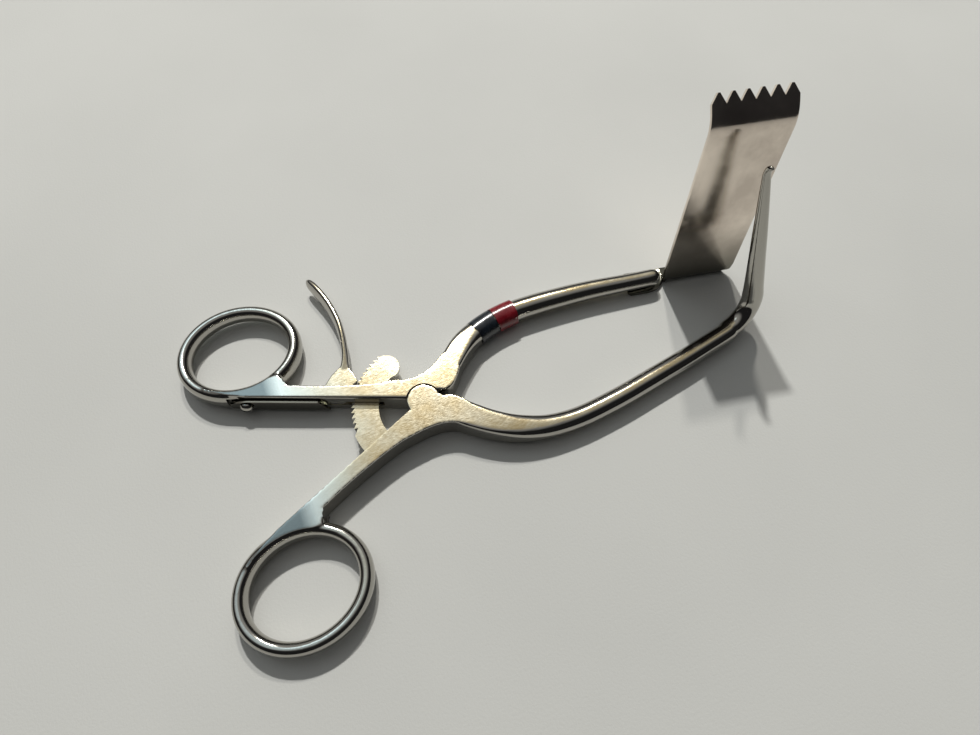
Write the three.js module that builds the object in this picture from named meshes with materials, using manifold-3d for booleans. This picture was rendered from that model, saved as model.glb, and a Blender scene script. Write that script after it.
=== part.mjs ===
// Ring-handled self-retaining retractor, opened a little: one arm carries a toothed blade, the other a single
// hooked spike. Millimetres, +Z up. The origin is on the hinge axis in the underside of the box joint, +X runs
// along the instrument towards the blade and the spike, and the spike arm lies on the -Y side.
import * as THREE from 'three';
import { mergeVertices } from 'three/addons/utils/BufferGeometryUtils.js';
import Module from 'manifold-3d';

const wasm = await Module();
wasm.setup();

// ---- driving dimensions -------------------------------------------------------------------------------
const GAP = 0.3;                       // clearance kept between neighbouring pieces
const BOX_H = 7.2;                     // height of the box joint and of the shanks beside it
const MID_Z = BOX_H / 2;               // every forging is symmetric about this plane
const EDGE = 0.8;                      // rounded edges of the forgings

const BOSS_R = 4.2;                    // round cheek of the spike arm
const TONGUE_H = 2.0;                  // tongue of the blade arm, between the two cheeks
const PIN_R = 1.6;
const PIN_L = 5.4;

const SHANK_ANGLE = 22.8;              // each shank's inner face leans this far from the X axis, degrees
const SHANK_IN = 0.2;                  // inner face of a shank, measured square to it from the hinge axis
const SEAT_END = 51.6;                 // the flat for the leaf spring ends here, along the shank

const RING_X = -40.9;                  // centre of each finger ring
const RING_Y = 32.5;
const RING_A = 14.7;                   // half lengths of the oval that a ring's section follows
const RING_B = 12.7;
const RING_TILT = 6.8;                 // degrees
const RING_W = 3.3;                    // section of a ring: width and height
const RING_H = 5.2;

const BAR_H = 1.5;                     // ratchet bar and release lever plate
const BAR_IN = 11.75;                  // the bar's edges are arcs about the hinge axis
const BAR_OUT = 18.8;
const BAR_PLAIN_R = 19.3;              // outer edge beside the shank, past the last tooth
const TOOTH_PITCH = 4.5;               // degrees
const TOOTH_DEPTH = 0.9;
const TOOTH_COUNT = 16;
const FIRST_TOOTH = 111.5;             // degrees from +X
const BAR_ROOT = 211.5;
const SLOT_FROM = 10.4;                // slot through the blade arm's shank, along the shank
const SLOT_TO = 27.8;

const LEVER_PIN_S = 21.6;              // lever pin: along the shank, and square to it
const LEVER_PIN_N = 1.9;
const LEVER_PIN_R = 0.9;
const FINGER_H = 4.8;                  // upright strip that the finger pushes
const FINGER_T = 1.3;

const SPRING_T = 0.7;
const SPRING_H = 4.4;
const SPRING_TO = 24.6;                // free end of the leaf spring, along the shank
const SCREW_S = 46.0;
const SCREW_HEAD_R = 1.7;

const TAPE_T = 0.25;                   // marking tape
const TAPE_IN = 3.12;                  // radius of the rod under it

const BLADE_W = 20.5;
const BLADE_T = 1.0;
const BLADE_H = 54.5;                  // foot of the blade to the bend below its teeth
const BLADE_TURN = -11.5;              // degrees from the X axis
const BLADE_LEAN = 5;                  // away from the spike
const TOOTHED_TURN = 38;               // the toothed end bends this much further
const TOOTHED_H = 6.7;
const BLADE_TEETH = 6;
const BLADE_TOOTH_H = 2.3;
const BLADE_FOOT = new THREE.Vector2(87.0, 9.3);
const FLANGE_FROM = -20.5;             // the flange runs from here, under the rod, to behind the blade
const FLANGE_W = 4.9;

const SIDES = 14;                      // sides of the round rods

const rad = THREE.MathUtils.degToRad;

// ---- finishes -----------------------------------------------------------------------------------------
const satinSteel = { color: 0xc9c7c0, roughness: 0.38, metalness: 1 };
const brightSteel = { color: 0xd6d4ce, roughness: 0.2, metalness: 1 };
const bladeSteel = { color: 0xb3aca2, roughness: 0.25, metalness: 1 };
const blackTape = { color: 0x14191d, roughness: 0.3, metalness: 0 };
const redTape = { color: 0x8f0f16, roughness: 0.35, metalness: 0 };

// ---- solids -------------------------------------------------------------------------------------------
function toSolid(geometry) {
  const plain = geometry.index ? geometry.toNonIndexed() : geometry.clone();
  plain.deleteAttribute('normal');
  plain.deleteAttribute('uv');
  const merged = mergeVertices(plain, 1e-4);
  const mesh = new wasm.Mesh({
    numProp: 3,
    vertProperties: new Float32Array(merged.attributes.position.array),
    triVerts: new Uint32Array(merged.index.array),
  });
  return new wasm.Manifold(mesh);
}

function toGeometry(solid) {
  const mesh = solid.getMesh();
  const geometry = new THREE.BufferGeometry();
  geometry.setAttribute('position', new THREE.BufferAttribute(mesh.vertProperties, 3));
  geometry.setIndex(new THREE.BufferAttribute(mesh.triVerts, 1));
  geometry.computeVertexNormals();
  return geometry;
}

const join = (solids) => solids.reduce((sum, solid) => sum.add(solid));
const cut = (solid, tools) => tools.reduce((left, tool) => left.subtract(tool), solid);

// A plate with the given outline between two heights, its edges rounded by `edge`.
function plate(shape, low, high, edge = 0, segments = 3) {
  const geometry = new THREE.ExtrudeGeometry(shape, {
    depth: high - low - 2 * edge,
    curveSegments: segments,
    bevelEnabled: edge > 0,
    bevelThickness: edge,
    bevelSize: edge,
    bevelOffset: -edge,
    bevelSegments: 2,
  });
  geometry.translate(0, 0, low + edge);
  return toSolid(geometry);
}

function upright(radius, low, high, x = 0, y = 0, sides = 36) {
  const geometry = new THREE.CylinderGeometry(radius, radius, high - low, sides);
  geometry.rotateX(Math.PI / 2);
  geometry.translate(x, y, (low + high) / 2);
  return toSolid(geometry);
}

function block(x0, x1, y0, y1, z0, z1) {
  const geometry = new THREE.BoxGeometry(x1 - x0, y1 - y0, z1 - z0);
  geometry.translate((x0 + x1) / 2, (y0 + y1) / 2, (z0 + z1) / 2);
  return toSolid(geometry);
}

// A round rod along a curve, with its radius given at each part of the way.
function rod(points, radiusAt, steps, sides = SIDES) {
  const curve = new THREE.CatmullRomCurve3(points, false, 'centripetal');
  const frames = curve.computeFrenetFrames(steps, false);
  const geometry = new THREE.CylinderGeometry(1, 1, 1, sides, steps);
  const position = geometry.attributes.position;
  const vertex = new THREE.Vector3();
  for (let i = 0; i < position.count; i += 1) {
    vertex.fromBufferAttribute(position, i);
    const along = THREE.MathUtils.clamp(vertex.y + 0.5, 0, 1);
    const step = Math.round(along * steps);
    const radius = radiusAt(along);
    const place = curve.getPointAt(step / steps);
    place.addScaledVector(frames.normals[step], vertex.x * radius);
    place.addScaledVector(frames.binormals[step], -vertex.z * radius);
    position.setXYZ(i, place.x, place.y, place.z);
  }
  return toSolid(geometry);
}

// Straight-line interpolation through [place, value] pairs.
function ramp(pairs) {
  return (t) => {
    const next = pairs.findIndex(([place]) => place >= t);
    if (next <= 0) {
      return pairs[Math.max(next, 0)][1];
    }
    const [t0, v0] = pairs[next - 1];
    const [t1, v1] = pairs[next];
    return THREE.MathUtils.lerp(v0, v1, (t - t0) / (t1 - t0));
  };
}

const level = (points) => points.map(([x, y]) => new THREE.Vector3(x, y, MID_Z));
const flat = (points) => points.map(([x, y]) => new THREE.Vector2(x, y));

// A point beside a shank: `s` along it from the hinge axis, `n` square to it, away from the other arm.
// `side` is +1 for the blade arm and -1 for the spike arm.
function shankPoint(side, s, n) {
  const angle = rad(SHANK_ANGLE);
  const x = -s * Math.cos(angle) + n * Math.sin(angle);
  const y = s * Math.sin(angle) + n * Math.cos(angle);
  return [x, side * y];
}

// A box in shank coordinates.
function shankBlock(side, s0, s1, n0, n1, z0, z1) {
  const corners = [[s0, n0], [s1, n0], [s1, n1], [s0, n1]].map(([s, n]) => shankPoint(side, s, n));
  return plate(new THREE.Shape(flat(corners)), z0, z1);
}

// ---- forgings -----------------------------------------------------------------------------------------
function fingerRing(side) {
  const around = 40;
  const middle = (RING_A + RING_B) / 2;
  const profile = [];
  const sectionSides = 12;
  for (let i = 0; i <= sectionSides; i += 1) {
    const angle = (i % sectionSides) / sectionSides * 2 * Math.PI;
    profile.push(new THREE.Vector2(middle + RING_W / 2 * Math.cos(angle), RING_H / 2 * Math.sin(angle)));
  }
  const geometry = new THREE.LatheGeometry(profile, around);
  geometry.rotateX(Math.PI / 2);
  geometry.scale(RING_A / middle, RING_B / middle, 1);
  geometry.rotateZ(rad(-side * RING_TILT));
  geometry.translate(RING_X, side * RING_Y, MID_Z);
  return toSolid(geometry);
}

// The oval hole of a finger ring, as a cutter for the web that joins ring and shank.
function ringHole(side) {
  const geometry = new THREE.CylinderGeometry(1, 1, BOX_H * 2, 40);
  geometry.rotateX(Math.PI / 2);
  geometry.scale(RING_A - RING_W / 2, RING_B - RING_W / 2, 1);
  geometry.rotateZ(rad(-side * RING_TILT));
  geometry.translate(RING_X, side * RING_Y, MID_Z);
  return toSolid(geometry);
}

// Web between ring and shank: it follows the shank's inner face and tapers out along the ring.
function web(side) {
  const points = [
    shankPoint(side, 30, SHANK_IN),
    shankPoint(side, 52, SHANK_IN),
    shankPoint(side, 47, 4.5),
    [-33.4, side * 21.5],
    [-31.9, side * 19.9],
    [-32.6, side * 18.6],
    [-31.0, side * 16.8],
    shankPoint(side, 30, 3.5),
  ];
  const low = (BOX_H - RING_H) / 2 - 0.4;
  const shape = plate(new THREE.Shape(flat(points)), low, BOX_H - low, EDGE);
  return shape.subtract(ringHole(side));
}

function shankOutline(side) {
  const outer = [[36, 3.9], [30, 3.6], [23, 3.7], [16, 4.1], [11, 4.6]];
  return outer.map(([s, n]) => shankPoint(side, s, n));
}

// ---- spike arm: ring, shank, two round cheeks, rod, elbow and spike --------------------------------------
function spikeArmBody() {
  const shape = new THREE.Shape();
  const corner = shankPoint(-1, 4.3, SHANK_IN);
  const cheekFrom = Math.atan2(corner[1], corner[0]);
  shape.moveTo(...shankPoint(-1, 36, SHANK_IN));
  shape.lineTo(...corner);
  shape.absarc(0, 0, BOSS_R, cheekFrom, rad(-7), true);
  shape.lineTo(4.7, -0.9);
  shape.splineThru(flat([[6.8, -1.2], [9.0, -2.8], [12.6, -7.3], [17.5, -11.3]]));
  shape.lineTo(18.2, -13.2);
  shape.lineTo(17.6, -15.2);
  shape.lineTo(15.8, -15.9);
  shape.splineThru(flat([[8.4, -10.9], [4.0, -8.5], [-1.0, -7.8], shankPoint(-1, 11, 4.8)]));
  for (const [x, y] of shankOutline(-1).reverse().slice(1)) {
    shape.lineTo(x, y);
  }
  return plate(shape, 0, BOX_H, EDGE);
}

const SPIKE_FOOT = new THREE.Vector3(93.0, -8.8, MID_Z);
const SPIKE_LEAN = new THREE.Vector3(-0.128, 0.29, 1);
const ROD_WAY = new THREE.Vector3(0.9775, 0.211, 0);
const ELBOW_R = 6.0;

function spikePoint(height) {
  return SPIKE_LEAN.clone().multiplyScalar(height).add(SPIKE_FOOT);
}

// The bend between the level rod and the leaning spike, an arc square to both.
function elbow() {
  const steps = 5;
  const rise = SPIKE_LEAN.clone().normalize();
  const square = rise.clone().addScaledVector(ROD_WAY, -rise.dot(ROD_WAY)).normalize();
  const turn = rise.angleTo(ROD_WAY);
  const start = SPIKE_FOOT.clone().addScaledVector(ROD_WAY, -ELBOW_R * Math.tan(turn / 2));
  const points = [];
  for (let i = 0; i <= steps; i += 1) {
    const angle = turn * i / steps;
    const point = start.clone().addScaledVector(ROD_WAY, ELBOW_R * Math.sin(angle));
    points.push(point.addScaledVector(square, ELBOW_R * (1 - Math.cos(angle))));
  }
  return points;
}

function spikeRod() {
  const run = level([
    [13.0, -10.6], [16.8, -13.6], [21.7, -16.1], [26.6, -17.6], [31.8, -18.3], [37.3, -18.4], [43.4, -17.9],
    [56.2, -16.1], [69.6, -13.9], [82.0, -11.4],
  ]);
  run.push(...elbow());
  const heights = [14, 21, 28, 34, 40, 44];
  const spike = heights.map(spikePoint);
  const outward = new THREE.Vector3(0.25, -0.97, 0);
  const hook = [
    spikePoint(45.9).addScaledVector(outward, 0.3),
    spikePoint(46.9).addScaledVector(outward, 1.0),
    spikePoint(47.0).addScaledVector(outward, 1.9),
  ];
  const radius = ramp([
    [0, 2.8], [0.1, 2.95], [0.25, 2.85], [0.6, 2.75], [0.66, 2.65], [0.75, 2.3], [0.85, 1.75], [0.92, 1.2],
    [0.96, 0.85], [1, 0.35],
  ]);
  return rod([...run, ...spike, ...hook], radius, 72);
}

function spikeArm() {
  const solid = join([spikeArmBody(), fingerRing(-1), web(-1), spikeRod()]);
  const tongueRoom = upright(BOSS_R + GAP, (BOX_H - TONGUE_H) / 2 - GAP, (BOX_H + TONGUE_H) / 2 + GAP, 0, 0, 48);
  const pinHole = upright(PIN_R + GAP, (BOX_H - PIN_L) / 2 - GAP, (BOX_H + PIN_L) / 2 + GAP);
  return cut(solid, [tongueRoom, pinHole, barSeat()]);
}

function hingePin() {
  return upright(PIN_R, (BOX_H - PIN_L) / 2, (BOX_H + PIN_L) / 2);
}

// ---- ratchet bar ----------------------------------------------------------------------------------------
const polar = (radius, degrees) => [radius * Math.cos(rad(degrees)), radius * Math.sin(rad(degrees))];

function ratchetBar() {
  const points = [];
  const lastTooth = FIRST_TOOTH + TOOTH_COUNT * TOOTH_PITCH;
  points.push(polar(BAR_IN, BAR_ROOT));
  for (let degrees = BAR_ROOT; degrees > lastTooth + 1; degrees -= 5) {
    points.push(polar(BAR_PLAIN_R, degrees));
  }
  for (let tooth = TOOTH_COUNT; tooth > 0; tooth -= 1) {
    const start = FIRST_TOOTH + tooth * TOOTH_PITCH;
    points.push(polar(BAR_OUT, start));
    points.push(polar(BAR_OUT - TOOTH_DEPTH, start - TOOTH_PITCH + 0.7));
  }
  points.push(polar(BAR_OUT, FIRST_TOOTH));
  const tip = new THREE.Vector2(-5.9, 13.7);
  const tipR = 3.55;
  for (let degrees = 82; degrees >= -58; degrees -= 20) {
    const [dx, dy] = polar(tipR, degrees);
    points.push([tip.x + dx, tip.y + dy]);
  }
  for (let degrees = 118; degrees < BAR_ROOT; degrees += 7) {
    points.push(polar(BAR_IN, degrees));
  }
  return plate(new THREE.Shape(flat(points)), MID_Z - BAR_H / 2, MID_Z + BAR_H / 2);
}

// The pocket in the spike arm's shank that holds the bar's root.
function barSeat() {
  const shape = new THREE.Shape();
  shape.absarc(0, 0, BAR_PLAIN_R + GAP, rad(190), rad(BAR_ROOT + 1.3), false);
  shape.absarc(0, 0, BAR_IN - GAP, rad(BAR_ROOT + 1.3), rad(190), true);
  const half = BAR_H / 2 + GAP;
  return plate(shape, MID_Z - half, MID_Z + half, 0, 6);
}

// ---- blade arm: ring, slotted shank, tongue, curved neck and rod ------------------------------------------
function bladeArmBody() {
  const shape = new THREE.Shape();
  shape.moveTo(...shankPoint(1, 3.9, SHANK_IN));
  shape.lineTo(...shankPoint(1, 36, SHANK_IN));
  for (const [x, y] of shankOutline(1)) {
    shape.lineTo(x, y);
  }
  shape.splineThru(flat([[-4.0, 7.1], [1.4, 7.0], [5.4, 8.3], [11.8, 12.5], [15.2, 14.8]]));
  shape.lineTo(17.1, 14.2);
  shape.lineTo(17.7, 12.0);
  shape.lineTo(16.6, 9.9);
  shape.splineThru(flat([[13.6, 6.8], [11.2, 3.8], [9.2, 1.7], [7.2, 0.5], [5.4, 0.6]]));
  shape.lineTo(2, 2.5);
  return plate(shape, 0, BOX_H, EDGE);
}

const BLADE_ROD = [
  [11.2, 8.7], [15.3, 11.9], [19.75, 14.5], [26, 16.35], [32.45, 17.1], [39, 16.95], [45, 16.5], [51, 15.9],
  [57, 15.1], [65.5, 13.7], [70, 13.0], [75.4, 12.3],
];
const ROD_END_RISE = 0.15;             // the rod's end lies on top of the blade's flange

function bladeRodPoints() {
  return BLADE_ROD.map(([x, y]) => {
    const rise = ROD_END_RISE * THREE.MathUtils.smoothstep(x, 45, 66);
    return new THREE.Vector3(x, y, MID_Z + rise);
  });
}

function bladeRod() {
  const radius = ramp([
    [0, 3.0], [0.15, 3.1], [0.4, 3.05], [0.7, 2.75], [0.82, 2.5], [0.97, 2.4], [0.99, 2.0], [1, 1.1],
  ]);
  return rod(bladeRodPoints(), radius, 44);
}

function tongue() {
  const low = (BOX_H - TONGUE_H) / 2;
  const disc = upright(BOSS_R, low, low + TONGUE_H, 0, 0, 48);
  const bridge = block(-3, 3.6, 2, 5.8, low, low + TONGUE_H);
  return disc.add(bridge);
}

function springSeat() {
  return shankBlock(1, 23, SEAT_END, -6, SHANK_IN, -1, BOX_H + 1);
}

function bladeArm() {
  const outside = join([bladeArmBody(), fingerRing(1), web(1), bladeRod()]);
  const recessed = outside.subtract(upright(BOSS_R + GAP, -1, BOX_H + 1, 0, 0, 48));
  const half = BAR_H / 2 + GAP;
  const slot = shankBlock(1, SLOT_FROM, SLOT_TO, -2, 8, MID_Z - half, MID_Z + half);
  const [pinX, pinY] = shankPoint(1, LEVER_PIN_S, LEVER_PIN_N);
  const leverPinHole = upright(LEVER_PIN_R + GAP, 1, BOX_H - 1, pinX, pinY, 20);
  const pinHole = upright(PIN_R + GAP, -1, BOX_H + 1);
  const screwHole = acrossShank(SCREW_S, 0.9 + GAP, -1, 3.4);
  return cut(recessed.add(tongue()), [slot, leverPinHole, pinHole, springSeat(), screwHole]);
}

// A round bar lying square to the blade arm's shank at mid height.
function acrossShank(s, radius, n0, n1, sides = 16) {
  const geometry = new THREE.CylinderGeometry(radius, radius, n1 - n0, sides);
  geometry.translate(0, (n0 + n1) / 2, 0);
  geometry.rotateZ(rad(-SHANK_ANGLE));
  const [x, y] = shankPoint(1, s, 0);
  geometry.translate(x, y, MID_Z);
  return toSolid(geometry);
}

// ---- release lever ----------------------------------------------------------------------------------------
const PAWL_R = BAR_OUT + 0.2;          // the pawl rests just outside the circle of tooth tips
const PAWL_ANGLE = 137.5;
const LEVER_CLEAR_R = BAR_PLAIN_R + 0.35;

function leverPlate() {
  const points = [
    polar(PAWL_R, PAWL_ANGLE),
    [-14.3, 15.0],
    [-14.9, 17.2],
    [-15.9, 18.9],
    [-17.4, 19.2],
    [-20.0, 17.2],
    [-22.5, 14.6],
    shankPoint(1, 26.4, 2.4),
    shankPoint(1, 26.2, 1.0),
    shankPoint(1, 24.6, 0.2),
    shankPoint(1, 21.3, 0.2),
    polar(LEVER_CLEAR_R, 154.5),
    polar(LEVER_CLEAR_R, 148),
    polar(LEVER_CLEAR_R, 142),
    polar(PAWL_R, PAWL_ANGLE + 1.5),
  ];
  const shape = new THREE.Shape(flat(points.reverse()));
  return plate(shape, MID_Z - BAR_H / 2, MID_Z + BAR_H / 2);
}

// The finger piece: a strip stood on edge, curving towards the ring and rounded at its tip.
function fingerPiece() {
  const middle = new THREE.CatmullRomCurve3(level([
    [-16.1, 17.4], [-14.9, 21.3], [-14.1, 25.7], [-13.8, 30.5], [-14.4, 36.5], [-15.9, 42.5], [-18.1, 48.6],
  ]));
  const heightAt = ramp([
    [0, 1.5], [0.18, 2.2], [0.4, 4.2], [0.6, FINGER_H], [0.88, FINGER_H], [0.96, 3.8], [1, 2.2],
  ]);
  const steps = 20;
  const geometry = new THREE.BoxGeometry(1, 1, 1, 1, steps, 1);
  const position = geometry.attributes.position;
  const vertex = new THREE.Vector3();
  for (let i = 0; i < position.count; i += 1) {
    vertex.fromBufferAttribute(position, i);
    const along = THREE.MathUtils.clamp(vertex.y + 0.5, 0, 1);
    const place = middle.getPointAt(along);
    const tangent = middle.getTangentAt(along);
    const side = new THREE.Vector3(tangent.y, -tangent.x, 0);
    place.addScaledVector(side, vertex.x * FINGER_T);
    place.z += vertex.z * heightAt(along);
    position.setXYZ(i, place.x, place.y, place.z);
  }
  return toSolid(geometry);
}

function releaseLever() {
  const [pinX, pinY] = shankPoint(1, LEVER_PIN_S, LEVER_PIN_N);
  const hole = upright(LEVER_PIN_R + GAP, 0, BOX_H, pinX, pinY, 20);
  return leverPlate().add(fingerPiece()).subtract(hole);
}

function leverPin() {
  const [pinX, pinY] = shankPoint(1, LEVER_PIN_S, LEVER_PIN_N);
  return upright(LEVER_PIN_R, 1 + GAP, BOX_H - 1 - GAP, pinX, pinY, 20);
}

// ---- leaf spring and its screw ------------------------------------------------------------------------------
function leafSpring() {
  const face = SHANK_IN - GAP;
  const half = SPRING_H / 2;
  const strip = shankBlock(1, SPRING_TO, SEAT_END - GAP, face - SPRING_T, face, MID_Z - half, MID_Z + half);
  return strip.subtract(acrossShank(SCREW_S, 0.9 + GAP, -4, 2));
}

function springScrew() {
  const face = SHANK_IN - GAP - SPRING_T;
  const profile = [[0, 0], [SCREW_HEAD_R, 0], [SCREW_HEAD_R, 0.35], [1.35, 0.85], [0.75, 1.15], [0, 1.25]];
  const head = new THREE.LatheGeometry(flat(profile), 20);
  head.rotateZ(Math.PI);
  head.translate(0, face - GAP, 0);
  head.rotateZ(rad(-SHANK_ANGLE));
  const [x, y] = shankPoint(1, SCREW_S, 0);
  head.translate(x, y, MID_Z);
  return toSolid(head).add(acrossShank(SCREW_S, 0.9, face - GAP - 0.2, 3.1));
}

// ---- marking tape -------------------------------------------------------------------------------------------
// A band of tape round the blade arm's rod, starting the given distance along it.
function tapeBand(fromX, toX) {
  const curve = new THREE.CatmullRomCurve3(bladeRodPoints(), false, 'centripetal');
  const at = (x) => {
    let low = 0;
    let high = 1;
    for (let i = 0; i < 30; i += 1) {
      const half = (low + high) / 2;
      if (curve.getPointAt(half).x < x) {
        low = half;
      } else {
        high = half;
      }
    }
    return curve.getPointAt(low);
  };
  const points = [0, 0.5, 1].map((t) => at(THREE.MathUtils.lerp(fromX, toX, t)));
  const long = [0, 0.5, 1].map((t) => at(THREE.MathUtils.lerp(fromX - 1, toX + 1, t)));
  const outer = rod(points, () => TAPE_IN + GAP + TAPE_T, 5, 24);
  const inner = rod(long, () => TAPE_IN + GAP / 2, 7, 24);
  return outer.subtract(inner);
}

// ---- blade --------------------------------------------------------------------------------------------------
// Built standing in its own axes (x along the foot, y away from the spike, z up), then turned into place.
function bladeSheet() {
  const half = BLADE_W / 2;
  const panel = new THREE.Shape();
  panel.moveTo(-half + 0.6, 0);
  panel.lineTo(half - 2.2, 0);
  panel.quadraticCurveTo(half - 0.4, 0.4, half, 3);
  panel.lineTo(half, BLADE_H);
  panel.lineTo(-half, BLADE_H);
  panel.lineTo(-half, 3.5);
  panel.lineTo(-half + 0.6, 0);
  const stand = (shape, segments) => {
    const geometry = new THREE.ExtrudeGeometry(shape, {
      depth: BLADE_T, bevelEnabled: false, curveSegments: segments,
    });
    geometry.rotateX(Math.PI / 2);
    geometry.translate(0, BLADE_T, 0);
    return geometry;
  };
  const face = toSolid(stand(panel, 4).rotateX(rad(-BLADE_LEAN)));

  const pitch = BLADE_W / BLADE_TEETH;
  const edge = [[-half, -0.4], [half, -0.4], [half, TOOTHED_H - BLADE_TOOTH_H]];
  for (let tooth = BLADE_TEETH - 1; tooth >= 0; tooth -= 1) {
    const middle = -half + (tooth + 0.5) * pitch;
    edge.push([middle + 0.25, TOOTHED_H], [middle - 0.25, TOOTHED_H]);
    edge.push([middle - pitch / 2, TOOTHED_H - BLADE_TOOTH_H]);
  }
  const end = stand(new THREE.Shape(flat(edge)), 1);
  end.rotateX(rad(-TOOTHED_TURN));
  end.translate(0, 0, BLADE_H);
  end.rotateX(rad(-BLADE_LEAN));

  const flange = block(-half - 0.2, half - 1.5, 0.1, FLANGE_W, 0, BLADE_T);
  const near = -2.3;
  const underRod = [
    [FLANGE_FROM, FLANGE_W], [FLANGE_FROM, near + 0.7], [FLANGE_FROM + 0.7, near], [-15.2, near],
    [-12.8, near + 0.4], [-11.0, near + 1.4], [-half, 0.1], [-half, FLANGE_W],
  ];
  const tongueStrip = plate(new THREE.Shape(flat(underRod)), 0, BLADE_T * 0.9);
  return join([face, toSolid(end), flange, tongueStrip]);
}

function blade() {
  const geometry = toGeometry(bladeSheet());
  geometry.rotateZ(rad(BLADE_TURN));
  geometry.translate(BLADE_FOOT.x, BLADE_FOOT.y, 0);
  return toSolid(geometry);
}

// ---- the assembly ---------------------------------------------------------------------------------------------
const group = new THREE.Group();

function add(name, solid, finish) {
  const mesh = new THREE.Mesh(toGeometry(solid), new THREE.MeshStandardMaterial(finish));
  mesh.name = name;
  group.add(mesh);
}

add('spike_arm', spikeArm(), satinSteel);
add('hinge_pin', hingePin(), brightSteel);
add('ratchet_bar', ratchetBar(), satinSteel);
add('blade_arm', bladeArm(), satinSteel);
add('retractor_blade', blade(), bladeSteel);
add('tape_black', tapeBand(19.75, 25.85), blackTape);
add('tape_red', tapeBand(26.15, 32.5), redTape);
add('leaf_spring', leafSpring(), brightSteel);
add('spring_screw', springScrew(), brightSteel);
add('lever_pin', leverPin(), brightSteel);
add('release_lever', releaseLever(), satinSteel);

export default group;
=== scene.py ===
import math

import bmesh
import bpy
from mathutils import Matrix, Vector


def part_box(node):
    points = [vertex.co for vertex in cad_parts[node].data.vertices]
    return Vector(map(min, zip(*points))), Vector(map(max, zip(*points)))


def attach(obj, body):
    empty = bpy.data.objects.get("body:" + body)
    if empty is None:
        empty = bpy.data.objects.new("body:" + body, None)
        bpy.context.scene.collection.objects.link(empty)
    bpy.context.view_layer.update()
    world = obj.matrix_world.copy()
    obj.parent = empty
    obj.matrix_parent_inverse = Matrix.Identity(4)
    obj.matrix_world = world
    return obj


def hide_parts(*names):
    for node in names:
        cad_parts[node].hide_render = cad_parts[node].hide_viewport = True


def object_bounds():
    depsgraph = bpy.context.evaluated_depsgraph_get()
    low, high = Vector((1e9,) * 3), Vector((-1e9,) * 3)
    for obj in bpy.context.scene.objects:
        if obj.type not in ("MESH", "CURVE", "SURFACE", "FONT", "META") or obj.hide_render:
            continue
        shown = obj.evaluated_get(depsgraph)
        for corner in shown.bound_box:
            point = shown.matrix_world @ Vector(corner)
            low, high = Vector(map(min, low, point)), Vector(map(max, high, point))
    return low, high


bl_info = {
    "name": "Ring-handled retractor",
    "version": (1, 0, 0),
    "blender": (4, 5, 0),
    "location": "View3D > Sidebar > Retractor",
    "description": "Builds the finished look of a self-retaining retractor round its CAD frame",
    "category": "Add Mesh",
}

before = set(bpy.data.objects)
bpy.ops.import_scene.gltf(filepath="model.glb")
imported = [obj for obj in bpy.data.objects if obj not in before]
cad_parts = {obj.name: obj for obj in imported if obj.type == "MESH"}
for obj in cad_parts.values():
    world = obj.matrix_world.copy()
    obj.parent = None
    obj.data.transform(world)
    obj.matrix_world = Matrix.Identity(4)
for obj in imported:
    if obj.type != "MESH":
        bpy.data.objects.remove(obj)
FRAME_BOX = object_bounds()

MM = 0.001
UP = Vector((0, 0, 1))
BOX_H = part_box("hinge_pin")[1][2] / MM + 0.9   # the pin's blind ends leave 0.9 mm of cheek over them
MID_Z = BOX_H / 2

SHANK_ANGLE = math.radians(22.8)
SHANK_IN = 0.2
RING_CENTRE = (-40.9, 32.5)
RING_HALF = (14.7, 12.7)
RING_TILT = math.radians(6.8)
RING_W = 3.5
RING_H = 5.3
RING_RISE = 1.75   # how much taller a ring is where it meets its shank
RIM = 0.55         # rounding of the forgings' level faces
BOSS_R = 4.2
BAR_IN = 11.75
BAR_OUT = 18.8
BAR_PLAIN = 19.3


# ---- shapes ---------------------------------------------------------------------------------------

def shank_point(side, along, out):
    """A point beside a shank; side is +1 for the blade arm and -1 for the spike arm."""
    x = -along * math.cos(SHANK_ANGLE) + out * math.sin(SHANK_ANGLE)
    y = along * math.sin(SHANK_ANGLE) + out * math.cos(SHANK_ANGLE)
    return (x, side * y)


def polar(radius, degrees):
    angle = math.radians(degrees)
    return (radius * math.cos(angle), radius * math.sin(angle))


def arc(radius, start, end, steps, centre=(0, 0)):
    points = []
    for i in range(steps + 1):
        x, y = polar(radius, start + (end - start) * i / steps)
        points.append((centre[0] + x, centre[1] + y))
    return points


def through(points, steps):
    """Points of a smooth curve through the given ones, `steps` to each stretch."""
    ends = [points[0], *points, points[-1]]
    out = []
    for a, b, c, d in zip(ends, ends[1:], ends[2:], ends[3:]):
        for i in range(steps):
            t = i / steps
            out.append(tuple(
                0.5 * (2 * q + (r - p) * t + (2 * p - 5 * q + 4 * r - s) * t * t
                       + (3 * q - p - 3 * r + s) * t ** 3)
                for p, q, r, s in zip(a, b, c, d)
            ))
    out.append(tuple(points[-1]))
    return out


def oval(side, angle, inset=0.0):
    """A point of a finger ring's oval, moved inwards by `inset`."""
    tilt = -side * RING_TILT
    x = (RING_HALF[0] - inset) * math.cos(angle)
    y = (RING_HALF[1] - inset) * math.sin(angle)
    return (
        RING_CENTRE[0] + x * math.cos(tilt) - y * math.sin(tilt),
        side * RING_CENTRE[1] + x * math.sin(tilt) + y * math.cos(tilt),
    )


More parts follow.
